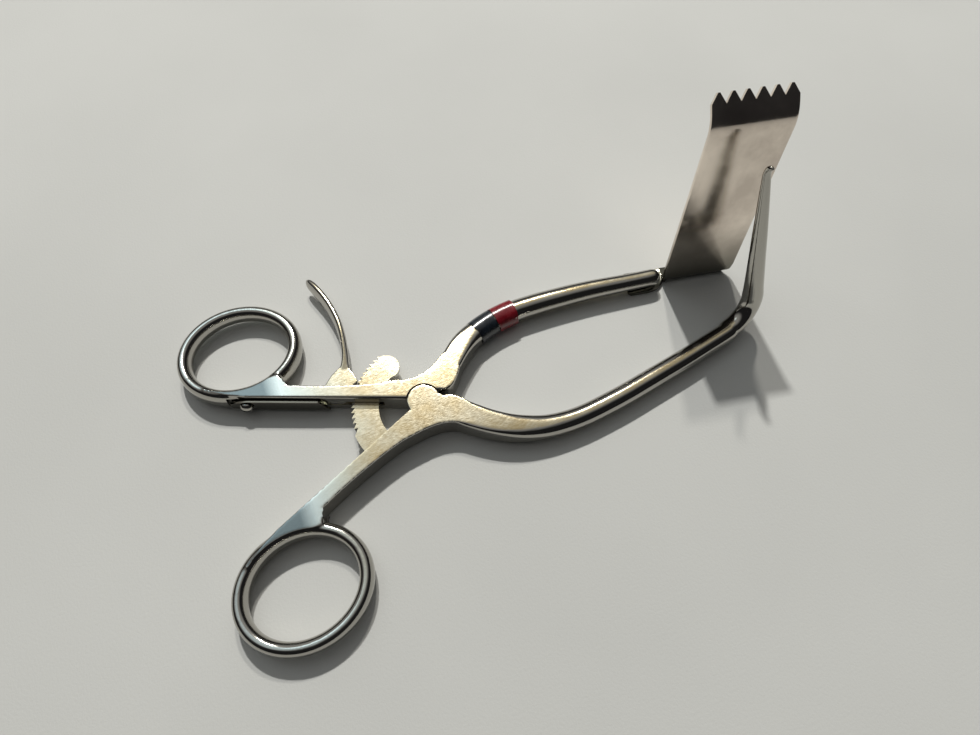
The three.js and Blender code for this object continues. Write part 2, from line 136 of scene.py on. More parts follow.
def add_prism(mesh, outline, low, high, edge=0.0, segments=4):
    """Adds a plate with the given outline between two heights, its rims rounded by `edge`."""
    bottom = [mesh.verts.new((x, y, low)) for x, y in outline]
    top = [mesh.verts.new((x, y, high)) for x, y in outline]
    count = len(outline)
    mesh.faces.new(bottom)
    mesh.faces.new(top)
    for i in range(count):
        j = (i + 1) % count
        mesh.faces.new((bottom[i], bottom[j], top[j], top[i]))
    if edge:
        rims = [e for ring in (bottom, top) for e in {e for v in ring for e in v.link_edges}
                if abs(e.verts[0].co.z - e.verts[1].co.z) < 1e-6]
        bmesh.ops.bevel(mesh, geom=rims, offset=edge, segments=segments, profile=0.5,
                        affect="EDGES", clamp_overlap=False)


def add_sweep(mesh, stations, sides=32, closed=False, lift=UP):
    """Adds a bar of superellipse section.

    Stations are (x, y, z, half width, half height, power) and, where the section leans, its roll in degrees.
    """
    places = [Vector(s[:3]) for s in stations]
    count = len(places)
    rings = []
    side = None
    for i, place in enumerate(places):
        before = places[i - 1] if i or closed else place
        after = places[(i + 1) % count] if i + 1 < count or closed else place
        ahead = (after - before).normalized()
        if side is None:
            side = ahead.cross(lift).normalized()
        else:
            side = (side - ahead * side.dot(ahead)).normalized()
        above = side.cross(ahead).normalized()
        if closed:
            side = ahead.cross(lift).normalized()
            above = lift
        half_w, half_h, power = stations[i][3:6]
        roll = math.radians(stations[i][6]) if len(stations[i]) > 6 else 0
        wide = side * math.cos(roll) - above * math.sin(roll)
        high = side * math.sin(roll) + above * math.cos(roll)
        ring = []
        for k in range(sides):
            angle = 2 * math.pi * k / sides
            c, s = math.cos(angle), math.sin(angle)
            across = math.copysign(abs(c) ** (2 / power), c) * half_w
            tall = math.copysign(abs(s) ** (2 / power), s) * half_h
            ring.append(mesh.verts.new(place + wide * across + high * tall))
        rings.append(ring)
    pairs = list(zip(rings, rings[1:]))
    if closed:
        pairs.append((rings[-1], rings[0]))
    else:
        mesh.faces.new(rings[0])
        mesh.faces.new(rings[-1])
    for one, two in pairs:
        for k in range(sides):
            j = (k + 1) % sides
            mesh.faces.new((one[k], one[j], two[j], two[k]))


def finger_ring(side):
    """A ring that grows taller where it meets its shank."""
    steps = 160
    rows = []
    for i in range(steps):
        angle = 2 * math.pi * i / steps
        near = 0.5 + 0.5 * math.cos(angle + side * math.radians(95))
        height = RING_H + RING_RISE * near ** 2
        rows.append((*oval(side, angle), MID_Z, RING_W / 2, height / 2, 2.25))
    return rows


def to_object(mesh, name):
    """Makes an object of a mesh built in millimetres."""
    bmesh.ops.recalc_face_normals(mesh, faces=mesh.faces)
    bmesh.ops.scale(mesh, vec=(MM, MM, MM), verts=mesh.verts)
    data = bpy.data.meshes.new(name)
    mesh.to_mesh(data)
    mesh.free()
    obj = bpy.data.objects.new(name, data)
    bpy.context.scene.collection.objects.link(obj)
    return obj


def settle(obj):
    """Keeps what the object's modifiers make and removes them."""
    bpy.context.view_layer.update()
    graph = bpy.context.evaluated_depsgraph_get()
    data = bpy.data.meshes.new_from_object(obj.evaluated_get(graph))
    obj.modifiers.clear()
    old = obj.data
    obj.data = data
    bpy.data.meshes.remove(old)
    data.name = obj.name


def melt(obj, voxel, rounds):
    """Fuses overlapping shells into one skin and rounds its inner corners."""
    remesh = obj.modifiers.new("fuse", "REMESH")
    remesh.mode = "VOXEL"
    remesh.voxel_size = voxel
    relax = obj.modifiers.new("relax", "SMOOTH")
    relax.factor = 0.5
    relax.iterations = rounds
    settle(obj)


def boolean(obj, tool, operation="DIFFERENCE"):
    step = obj.modifiers.new("cut", "BOOLEAN")
    step.operation = operation
    step.object = tool
    step.solver = "MANIFOLD"
    settle(obj)
    data = tool.data
    bpy.data.objects.remove(tool)
    bpy.data.meshes.remove(data)
    if not obj.data.polygons:
        raise RuntimeError("nothing is left of " + obj.name)


def soften(obj, width, segments=2, angle=30):
    bevel = obj.modifiers.new("rims", "BEVEL")
    bevel.width = width * MM
    bevel.segments = segments
    bevel.limit_method = "ANGLE"
    bevel.angle_limit = math.radians(angle)
    bevel.use_clamp_overlap = True
    settle(obj)


def shade(obj, angle=None):
    for polygon in obj.data.polygons:
        polygon.use_smooth = True
    if angle is not None:
        obj.data.set_sharp_from_angle(angle=math.radians(angle))


def even(obj):
    """Lets the large faces set the shading of the narrow rims beside them."""
    weigh = obj.modifiers.new("normals", "WEIGHTED_NORMAL")
    weigh.weight = 100
    weigh.keep_sharp = True
    settle(obj)


def cylinder(name, radius, low, high, centre=(0, 0), steps=96):
    mesh = bmesh.new()
    add_prism(mesh, arc(radius, 0, 360 - 360 / steps, steps - 1, centre), low, high)
    return to_object(mesh, name)


def prism(name, outline, low, high, edge=0.0, segments=4):
    mesh = bmesh.new()
    add_prism(mesh, outline, low, high, edge, segments)
    return to_object(mesh, name)


def finished(obj, body, node, material):
    """Hands a finished piece to the frame in place of its CAD node."""
    obj.data.materials.clear()
    obj.data.materials.append(material)
    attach(obj, body)
    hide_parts(node)


# ---- materials ------------------------------------------------------------------------------------

class Shader:
    """Small helper that adds and links the nodes of one material."""

    def __init__(self, name):
        self.material = bpy.data.materials.new(name)
        self.material.use_nodes = True
        self.tree = self.material.node_tree
        self.tree.nodes.clear()
        out = self.tree.nodes.new("ShaderNodeOutputMaterial")
        self.surface = self.tree.nodes.new("ShaderNodeBsdfPrincipled")
        self.link(self.surface.outputs[0], out.inputs["Surface"])
        self.place = self.tree.nodes.new("ShaderNodeTexCoord")

    def link(self, source, target):
        self.tree.links.new(source, target)

    def value(self, socket, value):
        self.surface.inputs[socket].default_value = value

    def node(self, kind, inputs=None, **settings):
        made = self.tree.nodes.new(kind)
        for key, value in settings.items():
            setattr(made, key, value)
        for key, value in (inputs or {}).items():
            if isinstance(value, bpy.types.NodeSocket):
                self.link(value, made.inputs[key])
            else:
                made.inputs[key].default_value = value
        return made

    def math(self, operation, a, b=0.0):
        return self.node("ShaderNodeMath", {0: a, 1: b}, operation=operation).outputs[0]

    def noise(self, scale, detail=3.0, roughness=0.5, stretch=(1, 1, 1), turn=0.0):
        moved = self.node("ShaderNodeMapping", {
            "Vector": self.place.outputs["Object"],
            "Rotation": (0, 0, turn),
            "Scale": stretch,
        })
        return self.node("ShaderNodeTexNoise", {
            "Vector": moved.outputs[0], "Scale": scale, "Detail": detail, "Roughness": roughness,
        }).outputs["Fac"]

    def span(self, value, low, high, to_low, to_high):
        return self.node("ShaderNodeMapRange", {
            "Value": value, "From Min": low, "From Max": high, "To Min": to_low, "To Max": to_high,
        }).outputs[0]

    def blend(self, factor, one, two):
        mixer = self.node("ShaderNodeMix", data_type="RGBA")
        for socket, value in ((mixer.inputs[0], factor), (mixer.inputs[6], one), (mixer.inputs[7], two)):
            if isinstance(value, bpy.types.NodeSocket):
                self.link(value, socket)
            else:
                socket.default_value = value
        return mixer.outputs[2]

    def bump(self, height, distance, strength=1.0):
        node = self.node("ShaderNodeBump", {"Height": height, "Distance": distance, "Strength": strength})
        self.link(node.outputs[0], self.surface.inputs["Normal"])
        return node

    def flat_top(self, low=0.965, high=0.995):
        """1 on the level faces of a piece and 0 on its rounded sides."""
        parts = self.node("ShaderNodeSeparateXYZ", {0: self.place.outputs["Normal"]})
        tilt = self.math("ABSOLUTE", parts.outputs[2])
        return self.span(tilt, low, high, 0.0, 1.0)


def forged_steel(settings):
    """Satin level faces with fine brushing and a painted warm reflection that turns cool near the rings,
    painted shade on the webs, bright rounded sides, a few handling marks.
    """
    shader = Shader("forged steel")
    level = shader.flat_top()
    lines = shader.noise(1500, 4, 0.7, (0.6, 5, 1), math.radians(35))
    cloud = shader.noise(160, 3, 0.55)
    speck = shader.noise(2600, 2, 0.7)
    spot = shader.node("ShaderNodeSeparateXYZ", {0: shader.place.outputs["Object"]})
    along = spot.outputs[0]
    # Painted shade: the level faces of the webs between shank and ring are darkened inside this x and |y|
    # band.
    web_shade_band = shader.span(shader.math("ABSOLUTE", spot.outputs[1]), 0.0235, 0.0255, 1.0, 0.0)
    web_shade_mask = shader.math("MULTIPLY", shader.span(along, -0.037, -0.033, 1.0, 0.0), web_shade_band)
    # Painted reflection in cool blue-white near the rings, painted shade in dark grey on the webs.
    cool_sheen_and_web_shade = shader.blend(web_shade_mask, (0.74, 0.82, 0.81, 1), (0.22, 0.27, 0.285, 1))
    brushed = shader.math("ADD", shader.math("MULTIPLY", cloud, 0.5), shader.math("MULTIPLY", lines, 0.5))
    streaks = shader.span(brushed, 0.40, 0.60, 0, 1)
    # Brushing streaks between two warm cream tones; the warm cream is a painted reflection of the warm light
    # overhead.
    brushed_warm_sheen = shader.blend(streaks, (0.62, 0.50, 0.29, 1), (0.74, 0.68, 0.52, 1))
    # Painted reflection: the level faces go from cool near the rings to warm towards the hinge.
    painted_sheen_and_shade = shader.blend(shader.span(along, -0.034, -0.016, 0, 1), cool_sheen_and_web_shade, brushed_warm_sheen)
    bright = (0.42, 0.405, 0.37, 1)
    # Only level faces take this painted sheen and shade; the rounded sides keep plain steel.
    shader.link(shader.blend(level, bright, painted_sheen_and_shade), shader.surface.inputs["Base Color"])
    shader.value("Metallic", 1.0)
    satin = shader.span(lines, 0.3, 0.7, settings.satin - 0.05, settings.satin + 0.09)
    polished = shader.span(cloud, 0.3, 0.7, settings.polish - 0.03, settings.polish + 0.06)
    mixed = shader.math("ADD", shader.math("MULTIPLY", satin, level),
                        shader.math("MULTIPLY", polished, shader.math("SUBTRACT", 1.0, level)))
    shader.link(mixed, shader.surface.inputs["Roughness"])
    relief = shader.math("ADD", shader.math("MULTIPLY", lines, level), shader.math("MULTIPLY", speck, 0.3))
    shader.bump(relief, 0.00002, 0.4)
    return shader.material


def sheet_steel(settings):
    """Mirror-bright sheet with cloudy handling marks and painted shade that darkens it towards the bottom."""
    shader = Shader("sheet steel")
    cloud = shader.noise(110, 4, 0.6)
    lines = shader.noise(700, 3, 0.6, (9, 1, 1))
    height = shader.node("ShaderNodeSeparateXYZ", {0: shader.place.outputs["Object"]}).outputs[2]
    smear = shader.noise(65, 5, 0.7, (1, 1, 0.6))
    marks = shader.math("ADD", shader.math("MULTIPLY", cloud, 0.5), shader.math("MULTIPLY", smear, 0.5))
    clean = shader.blend(shader.span(marks, 0.38, 0.62, 0, 1), (0.62, 0.54, 0.47, 1), (0.90, 0.80, 0.70, 1))
    # Painted shade: darker towards the bottom, near-black at the blade's foot where it reflects its shadowed
    # table; the low leaf spring takes it too.
    colour = shader.blend(shader.span(height, 0.003, 0.022, 0, 1), (0.15, 0.145, 0.12, 1), clean)
    shader.link(colour, shader.surface.inputs["Base Color"])
    shader.value("Metallic", 1.0)
    shader.link(shader.span(cloud, 0.3, 0.7, settings.sheet_polish, settings.sheet_polish + 0.12),
                shader.surface.inputs["Roughness"])
    shader.bump(shader.math("ADD", lines, shader.math("MULTIPLY", cloud, 2.0)), 0.00003, 0.25)
    return shader.material


def tape(name, colour, second):
    """Glossy wrapped tape with a slightly uneven surface."""
    shader = Shader(name)
    cloud = shader.noise(420, 3, 0.6)
    uneven = shader.blend(shader.span(cloud, 0.35, 0.65, 0, 1), colour, second)
    shader.link(uneven, shader.surface.inputs["Base Color"])
    shader.link(shader.span(cloud, 0.3, 0.7, 0.16, 0.34), shader.surface.inputs["Roughness"])
    shader.value("Coat Weight", 0.4)
    shader.value("Coat Roughness", 0.15)
    shader.bump(cloud, 0.00012, 0.5)
    return shader.material


def pale_table(settings):
    shader = Shader("pale table")
    cloud = shader.noise(9, 4, 0.5)
    weave = shader.noise(1500, 2, 0.6)
    first = tuple(settings.table_colour) + (1,)
    second = tuple(c * 0.94 for c in settings.table_colour) + (1,)
    uneven = shader.blend(shader.span(cloud, 0.35, 0.65, 0, 1), first, second)
    shader.link(uneven, shader.surface.inputs["Base Color"])
    shader.value("Roughness", 0.75)
    shader.value("Specular IOR Level", 0.2)
    shader.bump(weave, 0.00008, 0.5)
    return shader.material


# ---- what repeats: rows of notches, built as geometry nodes ---------------------------------------

def notch_tree(name):
    """A tree that puts copies of a wedge along an arc or a line, each turned by Step and moved by Shift."""
    tree = bpy.data.node_groups.new(name, "GeometryNodeTree")
    face = tree.interface
    face.new_socket("Geometry", in_out="INPUT", socket_type="NodeSocketGeometry")
    for label, kind, default in (
        ("Count", "NodeSocketInt", 4),
        ("Step", "NodeSocketFloat", 0.0),
        ("Shift", "NodeSocketVector", (0, 0, 0)),
        ("Seed", "NodeSocketInt", 3),
        ("Material", "NodeSocketMaterial", None),
    ):
        socket = face.new_socket(label, in_out="INPUT", socket_type=kind)
        if default is not None:
            socket.default_value = default
    face.new_socket("Geometry", in_out="OUTPUT", socket_type="NodeSocketGeometry")
    nodes, links = tree.nodes, tree.links
    start = nodes.new("NodeGroupInput")
    line = nodes.new("GeometryNodeMeshLine")
    line.mode = "OFFSET"
    line.count_mode = "TOTAL"
    links.new(start.outputs["Count"], line.inputs["Count"])
    links.new(start.outputs["Shift"], line.inputs["Offset"])
    index = nodes.new("GeometryNodeInputIndex")
    turn = nodes.new("ShaderNodeMath")
    turn.operation = "MULTIPLY"
    links.new(index.outputs[0], turn.inputs[0])
    links.new(start.outputs["Step"], turn.inputs[1])
    uneven = nodes.new("FunctionNodeRandomValue")
    uneven.data_type = "FLOAT"
    uneven.inputs[2].default_value = -0.004
    uneven.inputs[3].default_value = 0.004
    links.new(start.outputs["Seed"], uneven.inputs["Seed"])
    angle = nodes.new("ShaderNodeMath")
    links.new(turn.outputs[0], angle.inputs[0])
    links.new(uneven.outputs[1], angle.inputs[1])
    spin = nodes.new("ShaderNodeCombineXYZ")
    links.new(angle.outputs[0], spin.inputs["Z"])
    copies = nodes.new("GeometryNodeInstanceOnPoints")
    links.new(line.outputs[0], copies.inputs["Points"])
    links.new(start.outputs["Geometry"], copies.inputs["Instance"])
    links.new(spin.outputs[0], copies.inputs["Rotation"])
    real = nodes.new("GeometryNodeRealizeInstances")
    links.new(copies.outputs[0], real.inputs[0])
    dress = nodes.new("GeometryNodeSetMaterial")
    links.new(real.outputs[0], dress.inputs["Geometry"])
    links.new(start.outputs["Material"], dress.inputs["Material"])
    end = nodes.new("NodeGroupOutput")
    links.new(dress.outputs[0], end.inputs[0])
    return tree


def repeat(obj, material, **values):
    """Turns a wedge into the whole row of wedges."""
    tree = bpy.data.node_groups.get("row of notches") or notch_tree("row of notches")
    step = obj.modifiers.new("row", "NODES")
    step.node_group = tree
    sockets = {item.name: item.identifier for item in tree.interface.items_tree if item.in_out == "INPUT"}
    for label, value in values.items():
        step[sockets[label]] = value
    step[sockets["Material"]] = material
    settle(obj)


# ---- settings -------------------------------------------------------------------------------------

class RetractorSettings(bpy.types.PropertyGroup):
    grain: bpy.props.FloatProperty(
        name="Grain", description="Size of the skin's facets on the two arms", default=0.00024, unit="LENGTH")
    satin: bpy.props.FloatProperty(
        name="Satin", description="Roughness of the level faces", default=0.17,
        subtype="FACTOR", min=0.1, max=1)
    polish: bpy.props.FloatProperty(
        name="Polish", description="Roughness of the rounded sides", default=0.09,
        subtype="FACTOR", min=0.04, max=1)
    sheet_polish: bpy.props.FloatProperty(
        name="Blade polish", description="Roughness of the blade", default=0.09,
        subtype="FACTOR", min=0.04, max=1)
    black_tape: bpy.props.FloatVectorProperty(
        name="First band", description="Colour of the band nearer the hinge", default=(0.006, 0.008, 0.012),
        subtype="COLOR")
    red_tape: bpy.props.FloatVectorProperty(
        name="Second band", description="Colour of the band nearer the blade", default=(0.16, 0.004, 0.010),
        subtype="COLOR")
    table_colour: bpy.props.FloatVectorProperty(
        name="Table", description="Colour of the table", default=(0.70, 0.705, 0.685), subtype="COLOR")


def settings():
    return bpy.context.scene.retractor


def material(name):
    """The shared material of that name, made when first asked for."""
    found = bpy.data.materials.get(name)
    if found:
        return found
    makers = {
        "forged steel": lambda: forged_steel(settings()),
        "sheet steel": lambda: sheet_steel(settings()),
        "black tape": lambda: tape("black tape", (*settings().black_tape, 1), (0.012, 0.018, 0.026, 1)),
        "red tape": lambda: tape("red tape", (*settings().red_tape, 1), (0.24, 0.012, 0.02, 1)),
        "pale table": lambda: pale_table(settings()),
    }
    return makers[name]()


# ---- the two forgings -----------------------------------------------------------------------------

SHANK_OUT = [(34, 3.75), (30, 3.6), (23, 3.7), (16, 4.1), (11, 4.7)]


def ring_end(side):
    """The shank's outline at its ring: a fillet, the edge of the hole, and a tip that fades into the ring."""
    fillet = [(x, side * y) for x, y in arc(1.8, -112.8, -215, 9, (-30.53, 18.86))]
    inside = [oval(side, side * math.radians(-50), -0.5), oval(side, side * math.radians(-54), 0.2)]
    hole = [oval(side, side * math.radians(a), 0.45) for a in range(-60, -116, -4)]
    tip = [oval(side, side * math.radians(-114 - 5 * i), 0.45 - 0.12 * i) for i in range(1, 5)]
    back = [shank_point(side, 50, SHANK_IN + 0.35), shank_point(side, 46, SHANK_IN)]
    return fillet + inside + hole + tip + back


SPIKE_RUN = [
    (7.4, -6.2, MID_Z, 3.4, 3.61, 11), (10.2, -8.8, MID_Z, 3.3, 3.61, 10),
    (13.6, -11.6, MID_Z, 3.2, 3.58, 7), (17.6, -14.2, MID_Z, 3.15, 3.48, 4.6),
    (21.7, -16.1, MID_Z, 3.15, 3.3, 3.2), (26.6, -17.6, MID_Z, 3.0, 3.06, 2.4),
    (31.8, -18.3, MID_Z, 2.85, 2.88, 2.1), (37.3, -18.4, MID_Z, 2.78, 2.78, 2),
    (43.4, -17.9, MID_Z, 2.78, 2.78, 2), (50.0, -17.1, MID_Z, 2.78, 2.78, 2),
    (56.2, -16.1, MID_Z, 2.78, 2.78, 2), (63.0, -15.0, MID_Z, 2.76, 2.76, 2),
    (69.6, -13.9, MID_Z, 2.75, 2.75, 2), (76.6, -12.6, MID_Z, 2.72, 2.72, 2),
    (83.8, -11.2, MID_Z, 2.7, 2.7, 2),
]
SPIKE_FOOT = Vector((93.0, -8.8, MID_Z))
SPIKE_LEAN = Vector((-0.128, 0.29, 1))
ROD_WAY = Vector((0.9775, 0.211, 0))
HOOK_WAY = Vector((0.25, -0.97, 0))
ELBOW_R = 8.0


def elbow_points(steps):
    """The bend between the level rod and the leaning spike, as an arc."""
    rise = SPIKE_LEAN.normalized()
    square = (rise - ROD_WAY * rise.dot(ROD_WAY)).normalized()
    turn = rise.angle(ROD_WAY)
    start = SPIKE_FOOT - ROD_WAY * ELBOW_R * math.tan(turn / 2)
    angles = [turn * i / steps for i in range(steps + 1)]
    return [start + (ROD_WAY * math.sin(a) + square * (1 - math.cos(a))) * ELBOW_R for a in angles]


def spike_stations():
    rows = list(SPIKE_RUN)
    rows += [(*place, 2.7, 2.7, 2) for place in elbow_points(6)]
    taper = (11, 2.5), (16, 2.28), (21, 2.06), (28, 1.8), (34, 1.52), (39, 1.28), (42.5, 1.08), (44.6, 0.95)
    for height, radius in taper:
        rows.append((*(SPIKE_FOOT + SPIKE_LEAN * height), radius, radius, 2))
    hook = (45.9, 0.3, 0.82), (46.75, 0.95, 0.68), (46.95, 1.6, 0.42), (46.95, 1.95, 0.2)
    for height, out, radius in hook:
        rows.append((*(SPIKE_FOOT + SPIKE_LEAN * height + HOOK_WAY * out), radius, radius, 2))
    return rows


class BuildSpikeArm(bpy.types.Operator):
    """Forged arm with finger ring, box cheeks, rod and hooked spike"""
    bl_idname = "retractor.spike_arm"
    bl_label = "Spike arm"

    def execute(self, context):
        mesh = bmesh.new()
        corner = shank_point(-1, 4.3, SHANK_IN)
        start = math.degrees(math.atan2(corner[1], corner[0])) + 360
        outline = [corner]
        outline += arc(BOSS_R, start, -7, 40)[1:]
        outline += through([(4.7, -0.9), (6.8, -1.2), (9.0, -2.8), (11.3, -5.9)], 5)
        outline += [(11.6, -7.4), (10.4, -9.8), (9.2, -10.9)]
        outline += through([(8.4, -10.7), (4.0, -8.4), (-1.0, -7.8), shank_point(-1, 11, 4.7)], 6)
        outline += through([shank_point(-1, s, n) for s, n in reversed(SHANK_OUT)], 4)[1:]
        outline += ring_end(-1)
        add_prism(mesh, outline, 0, BOX_H, RIM)
        add_sweep(mesh, finger_ring(-1), closed=True)
        add_sweep(mesh, through(spike_stations(), 8), sides=40)
        arm = to_object(mesh, "spike_forging")
        melt(arm, settings().grain, 8)
        boolean(arm, cylinder("tongue room", BOSS_R + 0.3, MID_Z - 1.3, MID_Z + 1.3))
        seat = arc(BAR_PLAIN + 0.12, 190, 212.3, 14) + arc(BAR_IN - 0.12, 212.3, 190, 14)
        boolean(arm, prism("bar seat", seat, MID_Z - 0.85, MID_Z + 0.85))
        shade(arm, 40)
        finished(arm, "spike_side", "spike_arm", material("forged steel"))
        return {"FINISHED"}


BLADE_RUN = [
    (7.6, 5.2, MID_Z, 3.3, 3.61, 11), (11.3, 8.6, MID_Z, 3.0, 3.61, 10),
    (15.2, 11.9, MID_Z, 3.1, 3.56, 5.5), (19.75, 14.5, MID_Z, 3.15, 3.25, 2.8),
    (26.0, 16.35, MID_Z, 3.12, 3.12, 2.1), (32.4, 17.1, MID_Z, 3.05, 3.05, 2),
    (39, 16.95, MID_Z, 3.0, 3.0, 2), (45, 16.5, MID_Z, 2.92, 2.92, 2),
    (51, 15.9, MID_Z + 0.04, 2.82, 2.82, 2), (57, 15.1, MID_Z + 0.1, 2.68, 2.68, 2),
    (65.5, 13.7, MID_Z + 0.15, 2.48, 2.48, 2), (70, 13.0, MID_Z + 0.15, 2.42, 2.42, 2),
    (73.3, 12.55, MID_Z + 0.15, 2.38, 2.38, 2), (74.5, 12.4, MID_Z + 0.15, 2.15, 2.15, 2),
    (75.2, 12.3, MID_Z + 0.12, 1.6, 1.6, 2), (75.5, 12.27, MID_Z + 0.1, 0.7, 0.7, 2),
]


def shank_box(near, far, low, high):
    """The outline of a rectangle laid along the blade arm's shank."""
    return [shank_point(1, near, low), shank_point(1, far, low), shank_point(1, far, high),
            shank_point(1, near, high)]


def lever_slot():
    return prism("lever slot", shank_box(10.4, 27.8, -2, 8), MID_Z - 1.0, MID_Z + 1.0)


class BuildBladeArm(bpy.types.Operator):
    """Forged arm with finger ring, slotted shank, tongue and the rod that carries the blade"""
    bl_idname = "retractor.blade_arm"
    bl_label = "Blade arm"

    def execute(self, context):
        mesh = bmesh.new()
        outline = [(2.0, 2.5), shank_point(1, 3.9, SHANK_IN), *reversed(ring_end(1))]
        outline += through([shank_point(1, s, n) for s, n in SHANK_OUT], 4)
        outline += through([(-4.0, 7.1), (1.4, 7.0), (5.4, 8.3), (9.4, 10.9)], 6)
        outline += [(11.2, 10.4), (12.8, 7.9)]
        outline += through([(12.3, 5.7), (11.2, 3.9), (9.2, 1.7), (7.2, 0.55), (5.4, 0.6)], 5)
        add_prism(mesh, outline, 0, BOX_H, RIM)
        add_sweep(mesh, finger_ring(1), closed=True)
        add_sweep(mesh, through(BLADE_RUN, 8), sides=40)
        arm = to_object(mesh, "blade_forging")
        melt(arm, settings().grain, 8)
        boolean(arm, cylinder("recess", BOSS_R + 0.25, -1, BOX_H + 1))
        boolean(arm, lever_slot())
        seat = shank_box(23, 50.8, -6, SHANK_IN)
        boolean(arm, prism("spring seat", seat, MID_Z - 2.45, MID_Z + 2.45))
        shade(arm, 40)
        finished(arm, "blade_side", "blade_arm", material("forged steel"))
        return {"FINISHED"}


# ---- ratchet and lever ----------------------------------------------------------------------------

class BuildRatchetBar(bpy.types.Operator):
    """Curved bar with a row of slanting teeth"""
    bl_idname = "retractor.ratchet_bar"
    bl_label = "Ratchet bar"

    def execute(self, context):
        outline = arc(BAR_PLAIN, 211.5, 185.5, 14) + arc(BAR_OUT, 183.5, 111.5, 60)
        outline += arc(3.55, 82, -58, 16, (-5.9, 13.7)) + arc(BAR_IN, 118, 211.5, 50)
        bar = prism("toothed_bar", outline, MID_Z - 0.75, MID_Z + 0.75)
        start = 112.3
        wedge = [polar(17.85, start), polar(20.0, start - 0.5), polar(20.0, start + 4.6),
                 polar(18.75, start + 3.75)]
        row = prism("tooth gaps", wedge, MID_Z - 2, MID_Z + 2)
        repeat(row, material("forged steel"), Count=16, Step=math.radians(4.5), Seed=3)
        boolean(bar, row)
        soften(bar, 0.1, 2, 25)
        shade(bar, 35)
        even(bar)
        finished(bar, "spike_side", "ratchet_bar", material("forged steel"))
        return {"FINISHED"}


class BuildReleaseLever(bpy.types.Operator):
    """Pawl plate drawn out into an upright finger strip"""
    bl_idname = "retractor.release_lever"
    bl_label = "Release lever"

    def execute(self, context):
        outline = [
            polar(19.0, 137.5), (-14.3, 15.0), (-14.9, 17.0), (-15.7, 18.2), (-17.2, 18.5), (-20.0, 16.9),
            (-22.5, 14.6), shank_point(1, 26.4, 2.4), shank_point(1, 26.2, 1.0), shank_point(1, 24.6, 0.25),
            shank_point(1, 21.3, 0.25), polar(19.65, 154.5), polar(19.65, 148), polar(19.65, 142),
            polar(19.0, 139),
        ]
        mesh = bmesh.new()
        add_prism(mesh, outline, MID_Z - 0.75, MID_Z + 0.75, 0.1, 2)
        strip = [
            (-16.9, 15.6, 2.2, 0.70, 6, 0), (-16.4, 17.0, 1.6, 0.72, 5, 0),
            (-15.75, 18.8, 1.1, 0.95, 4, 2), (-14.95, 21.3, 0.92, 1.3, 3, 5),
            (-14.35, 24.5, 0.9, 1.7, 2.8, 8), (-13.95, 28.0, 0.92, 2.05, 2.6, 10),
            (-13.9, 32.0, 0.95, 2.2, 2.6, 12), (-14.4, 36.5, 0.98, 2.25, 2.6, 13),
            (-15.4, 41.0, 1.0, 2.25, 2.6, 14), (-16.7, 45.0, 0.98, 2.1, 2.6, 15),
            (-17.6, 47.3, 0.85, 1.7, 2.6, 15), (-18.05, 48.4, 0.55, 1.05, 2.6, 15),
        ]
        rows = [(x, y, MID_Z, w, h, p, roll) for x, y, w, h, p, roll in strip]
        add_sweep(mesh, through(rows, 8), sides=32)
        lever = to_object(mesh, "thumb_lever")
        melt(lever, 0.00011, 4)
        shade(lever)
        finished(lever, "lever", "release_lever", material("forged steel"))
        return {"FINISHED"}


# ---- spring and screw -----------------------------------------------------------------------------

def across(obj):
    """Turns a piece built along its own x and z so that it lies on the blade arm's inner face."""
    obj.data.transform(Matrix.Rotation(math.pi - SHANK_ANGLE, 4, "Z"))
    obj.data.update()


class BuildSpring(bpy.types.Operator):
    """Flat leaf spring and the screw that holds it"""
    bl_idname = "retractor.spring"
    bl_label = "Leaf spring and screw"

    def execute(self, context):
        mesh = bmesh.new()
        far, near, half = 50.5, 24.7, 2.2
        outline = [(near, half), (near + 2.4, -half), (far - 5.0, -half)]
        outline += through([(far - 2.0, -half * 0.72), (far - 0.4, -half * 0.25), (far, half * 0.2)], 4)
        outline += through([(far - 0.5, half * 0.7), (far - 2.5, half)], 3)
        add_prism(mesh, outline, 0, 0.7)
        strip = to_object(mesh, "flat_spring")
        stand = Matrix(((1, 0, 0, 0), (0, 0, 1, 0.1 * MM), (0, -1, 0, MID_Z * MM), (0, 0, 0, 1)))
        strip.data.transform(stand)
        across(strip)
        soften(strip, 0.12, 2, 30)
        shade(strip, 35)
        even(strip)
        finished(strip, "blade_side", "leaf_spring", material("sheet steel"))

        mesh = bmesh.new()
        profile = through([(1.72, 0), (1.68, 0.3), (1.4, 0.75), (0.85, 1.1), (0.3, 1.22)], 4)
        steps = 40
        rings = [[mesh.verts.new((46 + r * math.cos(2 * math.pi * k / steps), 1.1 + h,
                                  MID_Z + r * math.sin(2 * math.pi * k / steps))) for k in range(steps)]
                 for r, h in profile]
        mesh.faces.new(rings[0])
        mesh.faces.new(rings[-1])
        for one, two in zip(rings, rings[1:]):
            for k in range(steps):
                j = (k + 1) % steps
                mesh.faces.new((one[k], one[j], two[j], two[k]))
        screw = to_object(mesh, "dome_screw")
        mesh = bmesh.new()
        add_prism(mesh, [(43, 1.95), (49, 1.95), (49, 3), (43, 3)], MID_Z - 0.22, MID_Z + 0.22)
        boolean(screw, to_object(mesh, "screw slot"))
        across(screw)
        shade(screw, 40)
        finished(screw, "blade_side", "spring_screw", material("forged steel"))
        return {"FINISHED"}


# ---- marking tape ---------------------------------------------------------------------------------

